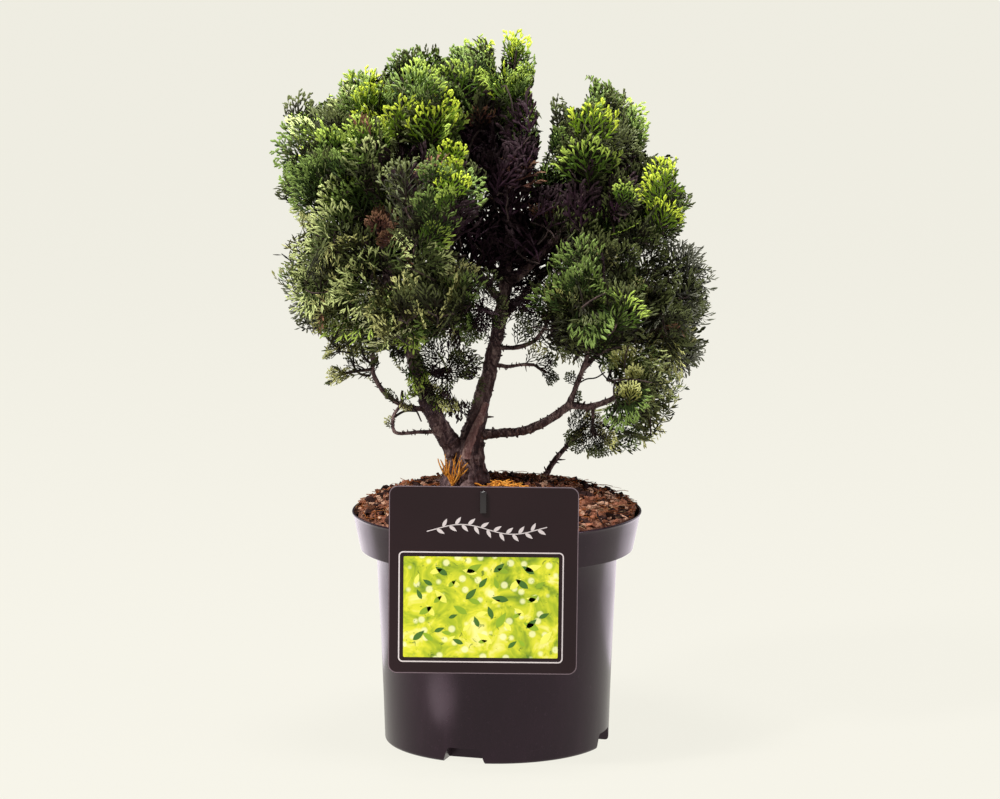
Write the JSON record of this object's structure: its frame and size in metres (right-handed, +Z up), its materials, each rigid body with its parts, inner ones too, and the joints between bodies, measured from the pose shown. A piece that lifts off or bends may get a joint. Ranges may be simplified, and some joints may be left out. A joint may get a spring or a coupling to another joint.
{
  "type": "dwarf hinoki cypress in a nursery pot",
  "caption": "Compact dwarf conifer with fan-shaped green sprays on a forked trunk, in a round black plastic nursery pot with a blank hanging picture card.",
  "frame": {"origin": "middle of the pot's flat underside, on the pot's axis", "axes": "+Z up the trunk, -Y towards the front with the card, +X to the right as seen from the front"},
  "size_m": [0.2879, 0.212, 0.4642],
  "materials": {
    "foliage": "deep green scale-leaf sprays, blue-grey where shaded, yellow-green at the sunlit tips",
    "bark": "rough purplish-brown flaking bark",
    "soil": "loose reddish-brown bark and coir mulch",
    "pot_plastic": "thin black thermoformed plastic with a soft sheen",
    "label_card": null,
    "label_hook": "black moulded plastic strap"
  },
  "bodies": {
    "root": {"pot": "pot_plastic", "soil": "soil", "label_card": "label_card", "label_hook": "label_hook", "trunk": "bark", "left_leader": "bark", "right_bough": "bark", "right_bough_up": "bark", "right_bough_out": "bark", "left_low_bough": "bark", "left_curl_twig": "bark", "centre_twig": "bark", "upper_twig": "bark", "upper_right_bough": "bark", "far_right_bough": "bark", "back_right_bough": "bark", "back_left_bough": "bark", "basal_shoot": "bark", "left_upper_branch": "bark", "left_front_branch": "bark", "front_low_branch": "bark", "centre_front_branch": "bark", "back_top_branch": "bark", "back_left_low_branch": "bark", "right_shoulder_branch": "bark", "right_skirt_branch": "bark", "back_right_low_branch": "bark", "left_upper_foliage": "foliage", "left_middle_foliage": "foliage", "left_lower_foliage": "foliage", "left_skirt_foliage": "foliage", "left_curl_foliage": "foliage", "left_top_foliage": "foliage", "left_front_foliage": "foliage", "front_low_foliage": "foliage", "inner_low_foliage": "foliage", "top_middle_foliage": "foliage", "top_spire_foliage": "foliage", "centre_upper_foliage": "foliage", "centre_front_foliage": "foliage", "centre_back_foliage": "foliage", "back_top_foliage": "foliage", "back_left_foliage": "foliage", "back_left_low_foliage": "foliage", "right_top_foliage": "foliage", "right_shoulder_foliage": "foliage", "right_inner_foliage": "foliage", "right_middle_foliage": "foliage", "far_right_foliage": "foliage", "right_low_foliage": "foliage", "right_skirt_foliage": "foliage", "centre_spray_foliage": "foliage", "upper_twig_foliage": "foliage", "back_right_foliage": "foliage", "back_right_low_foliage": "foliage", "basal_foliage": "foliage"}
  },
  "joints": []
}
